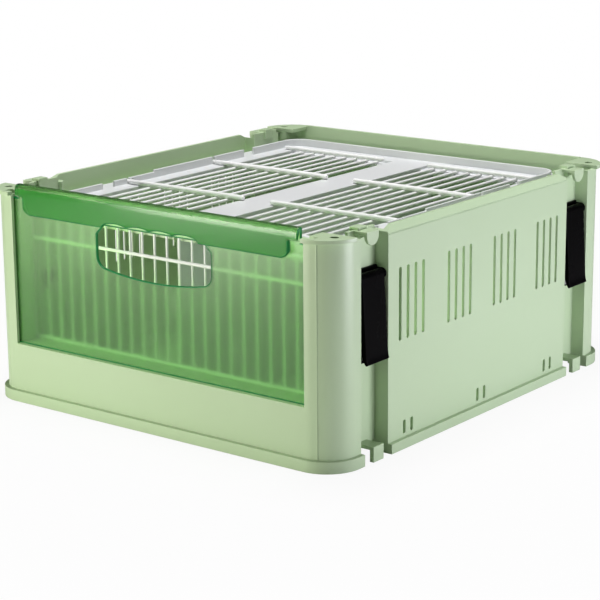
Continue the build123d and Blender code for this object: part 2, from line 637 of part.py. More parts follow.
# Front door: a clear sheet with a hand hole and a hooded lip along its top
with BuildPart() as front_door:
    with BuildSketch(Plane.XZ.offset(-DOOR_FACE_Y)) as door_sheet:
        with Locations((0, SILL_Z + GAP)):
            Rectangle(2 * DOOR_HALF, DOOR_EAR_Z - SILL_Z - GAP, align=(Align.CENTER, Align.MIN))
            Rectangle(2 * DOOR_NECK_HALF, DOOR_TOP_Z - SILL_Z - GAP, align=(Align.CENTER, Align.MIN))
    extrude(amount=-DOOR_T)
    # Hood section: out from the sheet, round, and down to the free edge
    with BuildSketch(Plane.YZ.offset(-LIP_HALF)) as hood_side:
        with BuildLine() as hood_line:
            outer_top = Line((DOOR_FACE_Y + GAP, DOOR_TOP_Z), (DOOR_FACE_Y, DOOR_TOP_Z))
            outer_bend = Spline(
                outer_top @ 1,
                (LIP_OUT_Y, DOOR_TOP_Z - 2 * LIP_OUT),
                tangents=[(-1, 0), (0, -1)],
            )
            outer_fall = Line(outer_bend @ 1, (LIP_OUT_Y, LIP_BOTTOM_Z))
            free_edge = Line(outer_fall @ 1, (LIP_OUT_Y + LIP_T, LIP_BOTTOM_Z))
            inner_top_z = DOOR_TOP_Z - 2 * LIP_OUT
            inner_fall = Line(free_edge @ 1, (LIP_OUT_Y + LIP_T, inner_top_z))
            inner_bend = Line(inner_fall @ 1, (DOOR_FACE_Y, DOOR_TOP_Z - LIP_ROOF_T))
            inner_top = Line(inner_bend @ 1, (DOOR_FACE_Y + GAP, DOOR_TOP_Z - LIP_ROOF_T))
            Line(inner_top @ 1, outer_top @ 0)
        make_face()
    extrude(amount=2 * LIP_HALF)
    # Finger grip: shallow scallops along the middle of the lip's free edge
    notch_w = 2 * GRIP_HALF / GRIP_NOTCHES
    with BuildSketch(Plane.XZ.offset(HALF_D + 2 * FOOT_OUT)) as scallops:
        for notch in range(GRIP_NOTCHES):
            notch_x = -GRIP_HALF + (notch + 1 / 2) * notch_w
            with Locations((notch_x, LIP_BOTTOM_Z)):
                Ellipse(notch_w / 2 + GRIP_OVERLAP, GRIP_RISE)
    extrude(amount=-(2 * FOOT_OUT + WALL), mode=Mode.SUBTRACT)
    # Rounded lower corners of the lip
    for side in (-1, 1):
        with BuildSketch(Plane.XZ.offset(HALF_D + 2 * FOOT_OUT)) as lip_corner:
            with Locations((side * LIP_HALF, LIP_BOTTOM_Z)):
                corner_align = (Align.MAX if side > 0 else Align.MIN, Align.MIN)
                Rectangle(LIP_END_R, LIP_END_R, align=corner_align)
            with Locations((side * (LIP_HALF - LIP_END_R), LIP_BOTTOM_Z + LIP_END_R)):
                Circle(LIP_END_R, mode=Mode.SUBTRACT)
        extrude(amount=-(2 * FOOT_OUT + WALL), mode=Mode.SUBTRACT)
    # Ends of the hood rounded in plan
    for side in (-1, 1):
        with BuildSketch(Plane.XY.offset(LIP_BOTTOM_Z - CUT_OVER)) as hood_corner:
            with Locations((side * LIP_HALF, LIP_OUT_Y)):
                corner_align = (Align.MAX if side > 0 else Align.MIN, Align.MIN)
                Rectangle(LIP_PLAN_R, LIP_PLAN_R, align=corner_align)
            with Locations((side * (LIP_HALF - LIP_PLAN_R), LIP_OUT_Y + LIP_PLAN_R)):
                Circle(LIP_PLAN_R, mode=Mode.SUBTRACT)
        extrude(amount=DOOR_TOP_Z - LIP_BOTTOM_Z + 2 * CUT_OVER, mode=Mode.SUBTRACT)
    # Roof of the hood, which runs on to the ends of the sheet's neck
    with BuildSketch(Plane.YZ.offset(-DOOR_NECK_HALF)) as roof_side:
        add(hood_side.sketch_local)
        with Locations((LIP_OUT_Y, LIP_ROOF_Z)):
            Rectangle(4 * LIP_OUT, DOOR_TOP_Z, align=(Align.CENTER, Align.MAX), mode=Mode.SUBTRACT)
    extrude(amount=2 * DOOR_NECK_HALF)
    # Hand hole with a gently curved lower edge
    with BuildSketch(Plane.XZ.offset(-DOOR_FACE_Y)) as hand_hole:
        with BuildLine() as hand_line:
            low = ThreePointArc(
                (-HAND_HALF + HAND_R, HAND_CORNER_Z),
                (0, HAND_LOW_Z),
                (HAND_HALF - HAND_R, HAND_CORNER_Z),
            )
            right_round = TangentArc(
                low @ 1, (HAND_HALF, HAND_CORNER_Z + HAND_LOW_R), tangent=low % 1
            )
            right_rise = Line(right_round @ 1, (HAND_HALF, HAND_TOP_Z - HAND_R))
            right_top = Line(right_rise @ 1, (HAND_HALF - HAND_R, HAND_TOP_Z))
            top = Line(right_top @ 1, (-HAND_HALF + HAND_R, HAND_TOP_Z))
            left_top = Line(top @ 1, (-HAND_HALF, HAND_TOP_Z - HAND_R))
            left_rise = Line(left_top @ 1, (-HAND_HALF, HAND_CORNER_Z + HAND_LOW_R))
            TangentArc(low @ 0, left_rise @ 1, tangent=-(low % 0))
        make_face()
    extrude(amount=-CUT_DEPTH, mode=Mode.SUBTRACT)
save(front_door, "front_door")

# Wire door: upright wires welded behind three level wires and two side rails
RAIL_X = OPENING_HALF + WALL
WIRE_BACK_Y = WIRE_Y + LEVEL_R + WIRE_R - WELD_SINK
WIRE_XS = [(wire - (WIRE_COUNT - 1) / 2) * WIRE_PITCH for wire in range(WIRE_COUNT)]
LOW_RAIL_Z = SILL_Z + GAP + RAIL_R
with BuildPart() as wire_door:
    with BuildSketch(Plane.YZ.offset(-RAIL_X)) as level_wires:
        with Locations(*[(WIRE_Y, z) for z in (LOW_RAIL_Z, WIRE_MID_Z, WIRE_TOP_Z)]):
            Circle(LEVEL_R)
    extrude(amount=2 * RAIL_X)
    with BuildSketch(Plane.XY.offset(LOW_RAIL_Z - RAIL_R)) as side_rails:
        with Locations(*[(side * RAIL_X, WIRE_Y) for side in (-1, 1)]):
            Circle(RAIL_R)
    extrude(amount=WIRE_TOP_Z - LOW_RAIL_Z + 2 * RAIL_R)
    with BuildSketch(Plane.XY.offset(LOW_RAIL_Z - RAIL_R)) as uprights:
        with Locations(*[(x, WIRE_BACK_Y) for x in WIRE_XS]):
            Circle(WIRE_R)
    extrude(amount=WIRE_TOP_Z - LOW_RAIL_Z + 2 * RAIL_R)
save(wire_door, "wire_door")

# Latch lever, side section in XZ, pivot at the top and a finger lip at the foot
with BuildPart() as lever_master:
    with BuildSketch(Plane.XZ.offset(CHANNEL_MID)) as lever_side:
        with BuildLine() as lever_line:
            eye_top = ThreePointArc(
                (PIVOT_X - LEVER_EYE_R, PIVOT_Z),
                (PIVOT_X, PIVOT_Z + LEVER_EYE_R),
                (PIVOT_X + LEVER_EYE_R, PIVOT_Z),
            )
            outer = Line(eye_top @ 1, (LEVER_FACE_LOW_X, LEVER_LIP_Z))
            lip = Spline(
                outer @ 1,
                (LIP_REACH_X, LEVER_LOW_Z + LIP_TIP_H),
                tangents=[outer % 1, (1, -2)],
            )
            tip = Line(lip @ 1, (LIP_REACH_X - LIP_TIP_W, LEVER_LOW_Z))
            back = Spline(
                tip @ 1,
                (LEVER_FACE_LOW_X - LEVER_T, LEVER_LIP_Z),
                tangents=[(-1, 1), (0, 1)],
            )
            inner = Line(back @ 1, (LEVER_FACE_LOW_X - LEVER_T, LEVER_INNER_Z))
            Line(inner @ 1, eye_top @ 0)
        make_face()
    extrude(amount=LEVER_W / 2, both=True)
    # Claw that passes through the channel wall and the panel's lock tab
    with Locations((CLAW_IN_X, -CHANNEL_MID, CLAW_Z)):
        claw_align = (Align.MIN, Align.CENTER, Align.CENTER)
        Box(LEVER_FACE_LOW_X - LEVER_T / 2 - CLAW_IN_X, CLAW_W, CLAW_H, align=claw_align)
    with BuildSketch(Plane.XZ.offset(CHANNEL_MID)) as lever_eye:
        with Locations((PIVOT_X, PIVOT_Z)):
            Circle(PIN_R + PIN_FIT)
    extrude(amount=LEVER_W, both=True, mode=Mode.SUBTRACT)

# Latch bracket: a back plate with two ears that carry the pin
with BuildPart() as bracket_master:
    with BuildSketch(Plane.YZ.offset(CHANNEL_X)) as back_plate:
        with Locations((-CHANNEL_MID, (BRACKET_LOW_Z + BRACKET_TOP_Z) / 2)):
            Rectangle(LEVER_W + 2 * (EAR_GAP + EAR_T), BRACKET_TOP_Z - BRACKET_LOW_Z)
        with Locations((-CHANNEL_MID, (CLAW_SLOT_LOW + CLAW_SLOT_HIGH) / 2)):
            Rectangle(CLAW_SLOT_W, CLAW_SLOT_HIGH - CLAW_SLOT_LOW, mode=Mode.SUBTRACT)
    extrude(amount=BRACKET_T)
    for side in (-1, 1):
        ear_y = CHANNEL_MID + side * (LEVER_W / 2 + EAR_GAP + EAR_T / 2)
        with BuildSketch(Plane.XZ.offset(ear_y)) as ear:
            with Locations((CHANNEL_X, PIVOT_Z - LEVER_EYE_R)):
                ear_align = (Align.MIN, Align.MIN)
                Rectangle(PIVOT_X - CHANNEL_X, 2 * LEVER_EYE_R, align=ear_align)
            with Locations((PIVOT_X, PIVOT_Z)):
                Circle(LEVER_EYE_R)
                Circle(PIN_R, mode=Mode.SUBTRACT)
        extrude(amount=EAR_T / 2, both=True)
    with Locations(*[(CHANNEL_X, -CHANNEL_MID, z) for z in (SCREW_LOW_Z, SCREW_HIGH_Z)]):
        with Locations(Rot(0, 90, 0)):
            Cylinder(SCREW_R + PIN_FIT, CUT_DEPTH, mode=Mode.SUBTRACT)

with BuildPart() as pin_master:
    with BuildSketch(Plane.XZ.offset(CHANNEL_MID)) as pin_end:
        with Locations((PIVOT_X, PIVOT_Z)):
            Circle(PIN_R)
    extrude(amount=LEVER_W / 2 + EAR_GAP + EAR_T, both=True)

# Two small screws that fix a bracket to the channel wall
with BuildPart() as screws_master:
    with BuildSketch(Plane.YZ.offset(CHANNEL_X + BRACKET_T)) as screw_heads:
        with Locations(*[(-CHANNEL_MID, z) for z in (SCREW_LOW_Z, SCREW_HIGH_Z)]):
            Circle(SCREW_HEAD_R)
    extrude(amount=SCREW_HEAD_T)
    with BuildSketch(Plane.YZ.offset(CHANNEL_X + BRACKET_T)) as shanks:
        with Locations(*[(-CHANNEL_MID, z) for z in (SCREW_LOW_Z, SCREW_HIGH_Z)]):
            Circle(SCREW_R)
    extrude(amount=-SCREW_L)

# One latch set at each corner, mirrored from the front right one
MASTERS = {
    "latch_lever": lever_master,
    "latch_bracket": bracket_master,
    "latch_pin": pin_master,
    "latch_screws": screws_master,
}
for depth_name, flip_y in (("front", False), ("back", True)):
    for side_name, flip_x in (("right", False), ("left", True)):
        for kind, master in MASTERS.items():
            placed = master.part
            if flip_y:
                placed = mirror(placed, about=Plane.XZ)
            if flip_x:
                placed = mirror(placed, about=Plane.YZ)
            with BuildPart() as latch_piece:
                add(placed)
            save(latch_piece, f"{kind}_{depth_name}_{side_name}")
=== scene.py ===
from math import pi, radians

import bmesh
import bpy
import numpy as np
from mathutils import Euler, Matrix, Vector
from mathutils.geometry import delaunay_2d_cdt


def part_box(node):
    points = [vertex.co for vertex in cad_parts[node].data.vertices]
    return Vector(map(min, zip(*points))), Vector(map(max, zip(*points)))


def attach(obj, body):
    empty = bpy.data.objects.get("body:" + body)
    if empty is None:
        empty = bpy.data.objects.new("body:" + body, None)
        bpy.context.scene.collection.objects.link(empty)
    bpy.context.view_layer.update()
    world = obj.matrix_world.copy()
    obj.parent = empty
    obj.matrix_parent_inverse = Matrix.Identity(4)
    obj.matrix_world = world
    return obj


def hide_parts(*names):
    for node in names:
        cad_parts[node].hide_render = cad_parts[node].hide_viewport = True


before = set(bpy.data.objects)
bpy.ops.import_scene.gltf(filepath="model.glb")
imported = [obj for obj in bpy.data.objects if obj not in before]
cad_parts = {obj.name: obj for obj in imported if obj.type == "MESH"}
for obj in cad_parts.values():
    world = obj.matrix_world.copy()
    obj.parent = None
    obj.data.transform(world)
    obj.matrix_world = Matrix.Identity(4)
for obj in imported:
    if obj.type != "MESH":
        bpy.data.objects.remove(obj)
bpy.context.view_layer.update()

# End frames: the two end mouldings, each with its corner posts, foot flange, top flanges and
# latch channels. They are injection-moulded polypropylene, sage green right through, and the
# tool leaves rolled corners and a fine even grain on them.
MM = 0.001
WELD_DISTANCE = 0.02 * MM
SAME_PLANE = radians(0.4)
SAME_SPOT = 1e-9
FILLED_HULL = 0
CORNER_TURN = radians(28)
ROLL_SEGMENTS = 3
ROUND_PROFILE = 0.5
SHELL_ROLL = 0.4 * MM
SAGE = (0.515, 0.665, 0.430, 1)
SAGE_DEEP = (0.470, 0.620, 0.375, 1)


def sort_into(piece, body, slot, *nodes):
    """Put a finished piece in the scene on its body and hide its CAD nodes; slot is not used."""
    bpy.context.scene.collection.objects.link(piece)
    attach(piece, body)
    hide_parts(*nodes)


def flat_regions(skin):
    """Number the faces of a skin by the flat stretch they belong to, and return the faces' plane
    normals: a face joins its neighbour's stretch where the edge between them doesn't turn."""
    region = skin.faces.layers.int.new("region")
    normals = []
    for first in skin.faces:
        if first[region]:
            continue
        normals.append(first.normal.copy())
        first[region] = len(normals)
        front = [first]
        while front:
            face = front.pop()
            for edge in face.edges:
                for beside in edge.link_faces:
                    if not beside[region] and beside.normal.angle(first.normal, pi) < SAME_PLANE:
                        beside[region] = len(normals)
                        front.append(beside)
    return region, normals


def inside_edges(points, starts, ends):
    """True for each point that an even-odd count of the outline's edges puts inside it."""
    x, y = points[:, :1], points[:, 1:]
    low, high = starts[:, 1] <= y, ends[:, 1] <= y
    rise = ends[:, 1] - starts[:, 1]
    share = (y - starts[:, 1]) / np.where(rise == 0, 1, rise)
    cross = starts[:, 0] + share * (ends[:, 0] - starts[:, 0])
    return ((low != high) & (cross > x)).sum(axis=1) % 2 == 1


def fill_flat(skin, faces, normal):
    """Replace the faces of one flat stretch with even triangles inside the same outline."""
    inner = set(faces)
    rim = [e for f in faces for e in f.edges if sum(b in inner for b in e.link_faces) == 1]
    across = normal.orthogonal().normalized()
    up = normal.cross(across)
    verts = list({v: None for e in rim for v in e.verts})
    place = {v: i for i, v in enumerate(verts)}
    flat = [Vector((v.co.dot(across), v.co.dot(up))) for v in verts]
    pairs = [(place[e.verts[0]], place[e.verts[1]]) for e in rim]
    spots, _, loops, origins, _, _ = delaunay_2d_cdt(flat, pairs, [], FILLED_HULL, SAME_SPOT)
    level = normal * verts[0].co.dot(normal)
    corners = [
        verts[source[0]] if source else skin.verts.new(across * spot.x + up * spot.y + level)
        for spot, source in zip(spots, origins)
    ]
    ends = np.array([flat[i] for pair in pairs for i in pair]).reshape(-1, 2, 2)
    middles = np.array(
        [sum((spots[i] for i in loop), Vector((0, 0))) / len(loop) for loop in loops]
    )
    kept = inside_edges(middles, ends[:, 0], ends[:, 1])
    bmesh.ops.delete(skin, geom=faces, context="FACES_ONLY")
    for loop, keep in zip(loops, kept):
        if keep:
            new = skin.faces.new([corners[i] for i in loop])
            new.normal_update()
            if new.normal.dot(normal) < 0:
                new.normal_flip()


def read_rows(items, attribute):
    """An attribute of three numbers for each item of a mesh, as the rows of an array."""
    numbers = np.empty(3 * len(items))
    items.foreach_get(attribute, numbers)
    return numbers.reshape(-1, 3)


def rolled_copy(node, name, radius, material):
    """A moulded piece made from a CAD node: its loose triangles are welded into one skin, each
    edge that turns more than 28 degrees is rolled, the flat stretches are filled anew, and a
    point that a roll throws out at a corner is brought back to the node's own box."""
    skin = bmesh.new()
    skin.from_mesh(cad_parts[node].data)
    bmesh.ops.remove_doubles(skin, verts=skin.verts, dist=WELD_DISTANCE)
    bmesh.ops.dissolve_limit(skin, angle_limit=SAME_PLANE, verts=skin.verts, edges=skin.edges)
    skin.normal_update()
    region, normals = flat_regions(skin)
    sharp = [e for e in skin.edges if e.is_manifold and e.calc_face_angle() > CORNER_TURN]
    rolled = bmesh.ops.bevel(
        skin,
        geom=sharp,
        offset=radius,
        offset_type="OFFSET",
        segments=ROLL_SEGMENTS,
        profile=ROUND_PROFILE,
        affect="EDGES",
        clamp_overlap=False,
    )
    for face in rolled["faces"]:
        face[region] = 0
    stretches = {}
    for face in skin.faces:
        stretches.setdefault(face[region], []).append(face)
    for number, faces in stretches.items():
        if number and (len(faces) > 1 or len(faces[0].verts) > 4):
            fill_flat(skin, faces, normals[number - 1])
    loose = [e for e in skin.edges if not e.link_faces]
    bmesh.ops.delete(skin, geom=loose, context="EDGES")
    mesh = bpy.data.meshes.new(name)
    skin.to_mesh(mesh)
    skin.free()
    corners = np.array(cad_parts[node].bound_box)
    points = read_rows(mesh.vertices, "co").clip(corners.min(axis=0), corners.max(axis=0))
    mesh.vertices.foreach_set("co", points.ravel())
    for spare in ("custom_normal", "region"):
        if spare in mesh.attributes:
            mesh.attributes.remove(mesh.attributes[spare])
    mesh.materials.clear()
    mesh.shade_smooth()
    mesh.materials.append(material)
    piece = bpy.data.objects.new(name, mesh)
    shade = piece.modifiers.new("even_shading", "WEIGHTED_NORMAL")
    shade.keep_sharp = True
    return piece


def set_inputs(node, values):
    """Give the named inputs of a shader node their constant values."""
    for name, value in values.items():
        node.inputs[name].default_value = value


DRIFT_SIZE, DRIFT_DETAIL = 7.0, 3
GRAIN_SIZE, GRAIN_DETAIL = 900.0, 2
RUB_SIZE, RUB_DETAIL, RUB_ROUGHNESS = 38, 6, 0.7
RUB_FROM, RUB_FULL = 0.56, 0.74
GRAIN_STRENGTH = 0.5
PLAIN_SHINE = 0.5


def moulded_grain():
    """Node group: broad colour drift, fine tool grain and small rub marks, from noise."""
    group = bpy.data.node_groups.new("moulded_grain", "ShaderNodeTree")
    sockets = group.interface
    size = sockets.new_socket("Grain Size", in_out="INPUT", socket_type="NodeSocketFloat")
    size.default_value = GRAIN_SIZE
    for name in ("Drift", "Grain", "Rubbed"):
        sockets.new_socket(name, in_out="OUTPUT", socket_type="NodeSocketFloat")
    nodes, links = group.nodes, group.links
    inside = nodes.new("NodeGroupInput")
    outside = nodes.new("NodeGroupOutput")
    place = nodes.new("ShaderNodeTexCoord")
    grain = nodes.new("ShaderNodeTexNoise")
    drift = nodes.new("ShaderNodeTexNoise")
    rub = nodes.new("ShaderNodeTexNoise")
    rub_cut = nodes.new("ShaderNodeMapRange")
    set_inputs(grain, {"Detail": GRAIN_DETAIL})
    set_inputs(drift, {"Scale": DRIFT_SIZE, "Detail": DRIFT_DETAIL})
    set_inputs(rub, {"Scale": RUB_SIZE, "Detail": RUB_DETAIL, "Roughness": RUB_ROUGHNESS})
    set_inputs(rub_cut, {"From Min": RUB_FROM, "From Max": RUB_FULL})
    for noise in (grain, drift, rub):
        links.new(place.outputs["Object"], noise.inputs["Vector"])
    links.new(inside.outputs["Grain Size"], grain.inputs["Scale"])
    links.new(rub.outputs["Fac"], rub_cut.inputs["Value"])
    links.new(drift.outputs["Fac"], outside.inputs["Drift"])
    links.new(grain.outputs["Fac"], outside.inputs["Grain"])
    links.new(rub_cut.outputs["Result"], outside.inputs["Rubbed"])
    return group


MOULDED_GRAIN = moulded_grain()


def drifting_plastic(name, pale, deep, rough, rubbed, shine):
    """A plastic whose colour drifts between two near shades, and whose gloss differs where it has
    been handled. It is returned with its shader and its grain node."""
    material = bpy.data.materials.new(name)
    material.use_nodes = True
    nodes, links = material.node_tree.nodes, material.node_tree.links
    shader = nodes["Principled BSDF"]
    grain = nodes.new("ShaderNodeGroup")
    grain.node_tree = MOULDED_GRAIN
    tint = nodes.new("ShaderNodeMix")
    tint.data_type = "RGBA"
    gloss = nodes.new("ShaderNodeMapRange")
    set_inputs(shader, {"Specular IOR Level": shine})
    set_inputs(tint, {"A": pale, "B": deep})
    set_inputs(gloss, {"To Min": rough, "To Max": rubbed})
    links.new(grain.outputs["Drift"], tint.inputs["Factor"])
    links.new(tint.outputs["Result"], shader.inputs["Base Color"])
    links.new(grain.outputs["Rubbed"], gloss.inputs["Value"])
    links.new(gloss.outputs["Result"], shader.inputs["Roughness"])
    return material, shader, grain


def plastic(name, pale, deep, rough, rubbed, grain_size, grain_depth, shine=PLAIN_SHINE):
    """Moulded plastic that light doesn't go through, with the tool's grain as bump."""
    material, shader, grain = drifting_plastic(name, pale, deep, rough, rubbed, shine)
    bump = material.node_tree.nodes.new("ShaderNodeBump")
    set_inputs(grain, {"Grain Size": grain_size})
    set_inputs(bump, {"Strength": GRAIN_STRENGTH, "Distance": grain_depth})
    material.node_tree.links.new(grain.outputs["Grain"], bump.inputs["Height"])
    material.node_tree.links.new(bump.outputs["Normal"], shader.inputs["Normal"])
    return material


SAGE_PLASTIC = plastic(
    "sage_plastic",
    pale=SAGE,
    deep=SAGE_DEEP,
    rough=0.36,
    rubbed=0.48,
    grain_size=GRAIN_SIZE,
    grain_depth=0.05 * MM,
)
for end in ("front", "back"):
    shell = rolled_copy(f"{end}_frame", f"{end}_frame_moulding", SHELL_ROLL, SAGE_PLASTIC)
    sort_into(shell, "carrier_body", "shell_green", f"{end}_frame")

# Side panels: flat mouldings with tall and short air slots, a bevelled rim and a foot flange.
# They are the same sage plastic as the end frames and are held by the swing levers.
for side in ("right", "left"):
    panel = rolled_copy(f"{side}_side_panel", f"{side}_panel_moulding", SHELL_ROLL, SAGE_PLASTIC)
    sort_into(panel, "carrier_body", "shell_green", f"{side}_side_panel")

# Floor: a shallow tray that lies on ledges of the frames and panels. It is the same green as the
# shell, and duller where it has been scraped clean.
FLOOR_GREEN = plastic(
    "floor_plastic",
    pale=SAGE,
    deep=SAGE_DEEP,
    rough=0.45,
    rubbed=0.6,
    grain_size=700,
    grain_depth=0.06 * MM,
)
tray = rolled_copy("floor_panel", "floor_tray", SHELL_ROLL, FLOOR_GREEN)
sort_into(tray, "carrier_body", "floor_green", "floor_panel")

# Centre divider: a white sheet that drops between guides on the front beam and the back wall.
# It parts the carrier into two compartments.
WHITE_PLASTIC = plastic(
    "white_plastic",
    pale=(0.76, 0.78, 0.77, 1),
    deep=(0.70, 0.73, 0.73, 1),
    rough=0.34,
    rubbed=0.46,
    grain_size=800,
    grain_depth=0.04 * MM,
)
divider = rolled_copy("center_divider", "divider_sheet", SHELL_ROLL, WHITE_PLASTIC)
sort_into(divider, "carrier_body", "divider_white", "center_divider")

# Lid frame: a white tray edge with a centre band, an upstand wall with rounded corners, and
# L-shaped slots that take the cross rods of the wire mats. It is moulded in one piece.
LID_ROLL = 0.6 * MM
lid = rolled_copy("lid_frame", "lid_tray", LID_ROLL, WHITE_PLASTIC)
sort_into(lid, "carrier_body", "lid_white", "lid_frame")

# Wire door: drawn steel wire, spot-welded where it crosses and dipped in white plastic, which
# leaves domed ends and a little swelling at each weld. Uprights lie behind three level wires.
COATED_WIRE = plastic(
    "coated_wire",
    pale=(0.95, 0.96, 0.95, 1),
    deep=(0.92, 0.93, 0.93, 1),
    rough=0.26,
    rubbed=0.34,
    grain_size=500,
    grain_depth=0.03 * MM,
)
WIRE_SIDES = 12
DOME_STEPS = 4
DOME_CLEAR = 1.1
STEEP = 0.9
WELD_SINK = 0.3 * MM
WELD_SWELL = 0.1
WELD_STEPS = np.array([-2.5, -1.5, -0.8, 0.0, 0.8, 1.5, 2.5])
RAIL_R, LEVEL_R, UPRIGHT_R = 1.7 * MM, 1.5 * MM, 1.2 * MM
UPRIGHT_PITCH, UPRIGHT_COUNT = 13.87 * MM, 22
MIDDLE_LEVEL_Z = 144 * MM
LEVEL_Y = -184.5 * MM
UPRIGHT_Y = LEVEL_Y + LEVEL_R + UPRIGHT_R - WELD_SINK
UPRIGHT_XS = (np.arange(UPRIGHT_COUNT) - (UPRIGHT_COUNT - 1) / 2) * UPRIGHT_PITCH
grille_low, grille_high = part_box("wire_door")
RAIL_X = grille_high[0] - RAIL_R
WIRE_FOOT, WIRE_HEAD = grille_low[2], grille_high[2]
LEVEL_ZS = (WIRE_FOOT + RAIL_R, MIDDLE_LEVEL_Z, WIRE_HEAD - RAIL_R)


def wire_stations(length, radius, welds):
    """Distances along a wire at which its radius changes, and the radius there. It falls like a
    half circle over the last radius of both ends, and swells like a bell round each weld."""
    dome = radius * (1 - np.cos(np.linspace(0, pi / 2, DOME_STEPS + 1)[1:]))
    inner = np.add.outer(welds, WELD_STEPS * radius).ravel()
    if not welds:
        inner = np.array([length / 2])
    clear = DOME_CLEAR * radius
    inner = inner[(inner > clear) & (inner < length - clear)]
    stations = np.unique(np.concatenate([dome, inner, length - dome]))
    depth = np.minimum(np.minimum(stations, length - stations) / radius, 1)
    swell = sum(np.exp(-(((stations - weld) / radius) ** 2)) for weld in welds)
    return stations, radius * (np.sqrt(1 - (1 - depth) ** 2) + WELD_SWELL * swell * (depth >= 1))


def coated_wire(start, end, radius, welds=()):
    """Points, side faces and end faces of a straight wire: a circle carried from start to end,
    with the radius that the wire has at each station, and closed at a point on both ends."""
    start, end = np.array(start, float), np.array(end, float)
    length = np.linalg.norm(end - start)
    along = (end - start) / length
    stations, radii = wire_stations(length, radius, welds)
    across = np.cross(along, (0, 0, 1) if abs(along[2]) < STEEP else (0, 1, 0))
    across /= np.linalg.norm(across)
    turns = np.arange(WIRE_SIDES) * 2 * pi / WIRE_SIDES
    spokes = np.cos(turns)[:, None] * across + np.sin(turns)[:, None] * np.cross(along, across)
    rings = (start + stations[:, None] * along)[:, None] + radii[:, None, None] * spokes
    points = np.vstack([rings.reshape(-1, 3), start, end])
    ring = np.arange(WIRE_SIDES)
    beside = (ring + 1) % WIRE_SIDES
    rows = np.arange(len(stations) - 1)[:, None] * WIRE_SIDES
    next_rows = rows + WIRE_SIDES
    sides = [rows + ring, rows + beside, next_rows + beside, next_rows + ring]
    last = (len(stations) - 1) * WIRE_SIDES
    pole = np.full(WIRE_SIDES, last + WIRE_SIDES)
    foot = np.stack([pole, beside, ring], axis=-1)
    head = np.stack([pole + 1, last + ring, last + beside], axis=-1)
    return points, np.stack(sides, axis=-1).reshape(-1, 4), np.vstack([foot, head])


def wire_piece(name, runs):
    """One object from several wires: their points and faces are put one after another."""
    points, side_faces, cap_faces = zip(*runs)
    firsts = np.cumsum([0] + [len(run) for run in points[:-1]])
    faces = []
    for sides, caps, first in zip(side_faces, cap_faces, firsts):
        faces += (sides + first).tolist() + (caps + first).tolist()
    mesh = bpy.data.meshes.new(name)
    mesh.from_pydata(np.vstack(points).tolist(), [], faces)
    mesh.shade_smooth()
    mesh.materials.append(COATED_WIRE)
    return bpy.data.objects.new(name, mesh)


level_welds = list(UPRIGHT_XS + RAIL_X)
upright_welds = [z - WIRE_FOOT for z in LEVEL_ZS]
level_runs = [
    coated_wire((-RAIL_X, LEVEL_Y, z), (RAIL_X, LEVEL_Y, z), LEVEL_R, level_welds)
    for z in LEVEL_ZS
]
upright_runs = [
    coated_wire((x, UPRIGHT_Y, WIRE_FOOT), (x, UPRIGHT_Y, WIRE_HEAD), UPRIGHT_R, upright_welds)
    for x in UPRIGHT_XS
]
rail_runs = [
    coated_wire((x, LEVEL_Y, WIRE_FOOT), (x, LEVEL_Y, WIRE_HEAD), RAIL_R, upright_welds)
    for x in (-RAIL_X, RAIL_X)
]
grille = wire_piece("wire_door_grille", level_runs + upright_runs + rail_runs)
sort_into(grille, "wire_door", "wire_white", "wire_door")

# Lid mats: the same coated wire, eight bars front to back under two thick cross rods, whose
# thin pins sit in the lid's L-shaped slots, and a rod across each end.
WINDOW_IN, BAR_PITCH, BAR_COUNT = 19.7 * MM, 13.1 * MM, 8
BAR_R, ROD_R, PIN_R, END_R = 1.5 * MM, 2.3 * MM, 1.1 * MM, 1.9 * MM
BAR_Z = 173 * MM
ROD_Z = BAR_Z + BAR_R + ROD_R - WELD_SINK
END_Z = BAR_Z + BAR_R + END_R - WELD_SINK
ROD_YS = (-70 * MM, 52 * MM)
ROD_OUT, PIN_IN = 150 * MM, 148.5 * MM
END_IN, END_OUT = 25 * MM, 147 * MM
mat_low, mat_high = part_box("lid_wires_right")
ROD_IN, BAR_FRONT = mat_low[0], mat_low[1]
PIN_OUT, BAR_BACK = mat_high[0], mat_high[1]
BAR_XS = WINDOW_IN + BAR_PITCH * np.arange(1, BAR_COUNT + 1)
END_YS = (BAR_FRONT + END_R, BAR_BACK - END_R)


def mat_runs(facing):
    """The wires of one mat, on the side that facing points to: 1 is right and -1 is left."""
    bar_welds = [y - BAR_FRONT for y in ROD_YS + END_YS]
    runs = [
        coated_wire((facing * x, BAR_FRONT, BAR_Z), (facing * x, BAR_BACK, BAR_Z), BAR_R, bar_welds)
        for x in BAR_XS
    ]
    for y in ROD_YS:
        rod = ((facing * ROD_IN, y, ROD_Z), (facing * ROD_OUT, y, ROD_Z))
        pin = ((facing * PIN_IN, y, ROD_Z), (facing * PIN_OUT, y, ROD_Z))
        runs += [coated_wire(*rod, ROD_R, list(BAR_XS - ROD_IN)), coated_wire(*pin, PIN_R)]
    for y in END_YS:
        end_rod = ((facing * END_IN, y, END_Z), (facing * END_OUT, y, END_Z))
        runs.append(coated_wire(*end_rod, END_R, list(BAR_XS - END_IN)))
    return runs


for side, facing in (("right", 1), ("left", -1)):
    mat = wire_piece(f"lid_mat_{side}", mat_runs(facing))
    sort_into(mat, f"lid_wires_{side}", "wire_white", f"lid_wires_{side}")

# Front door: one clear green sheet, moulded with a hooded lip, a scalloped finger grip and a
# hand hole. It slides up in the grooves of the front posts.
DOOR_IOR = 1.45
DOOR_SHINE = 0.25
DOOR_SHADOW = (0.74, 0.81, 0.69, 1)
RUBBED_MORE = 1.5


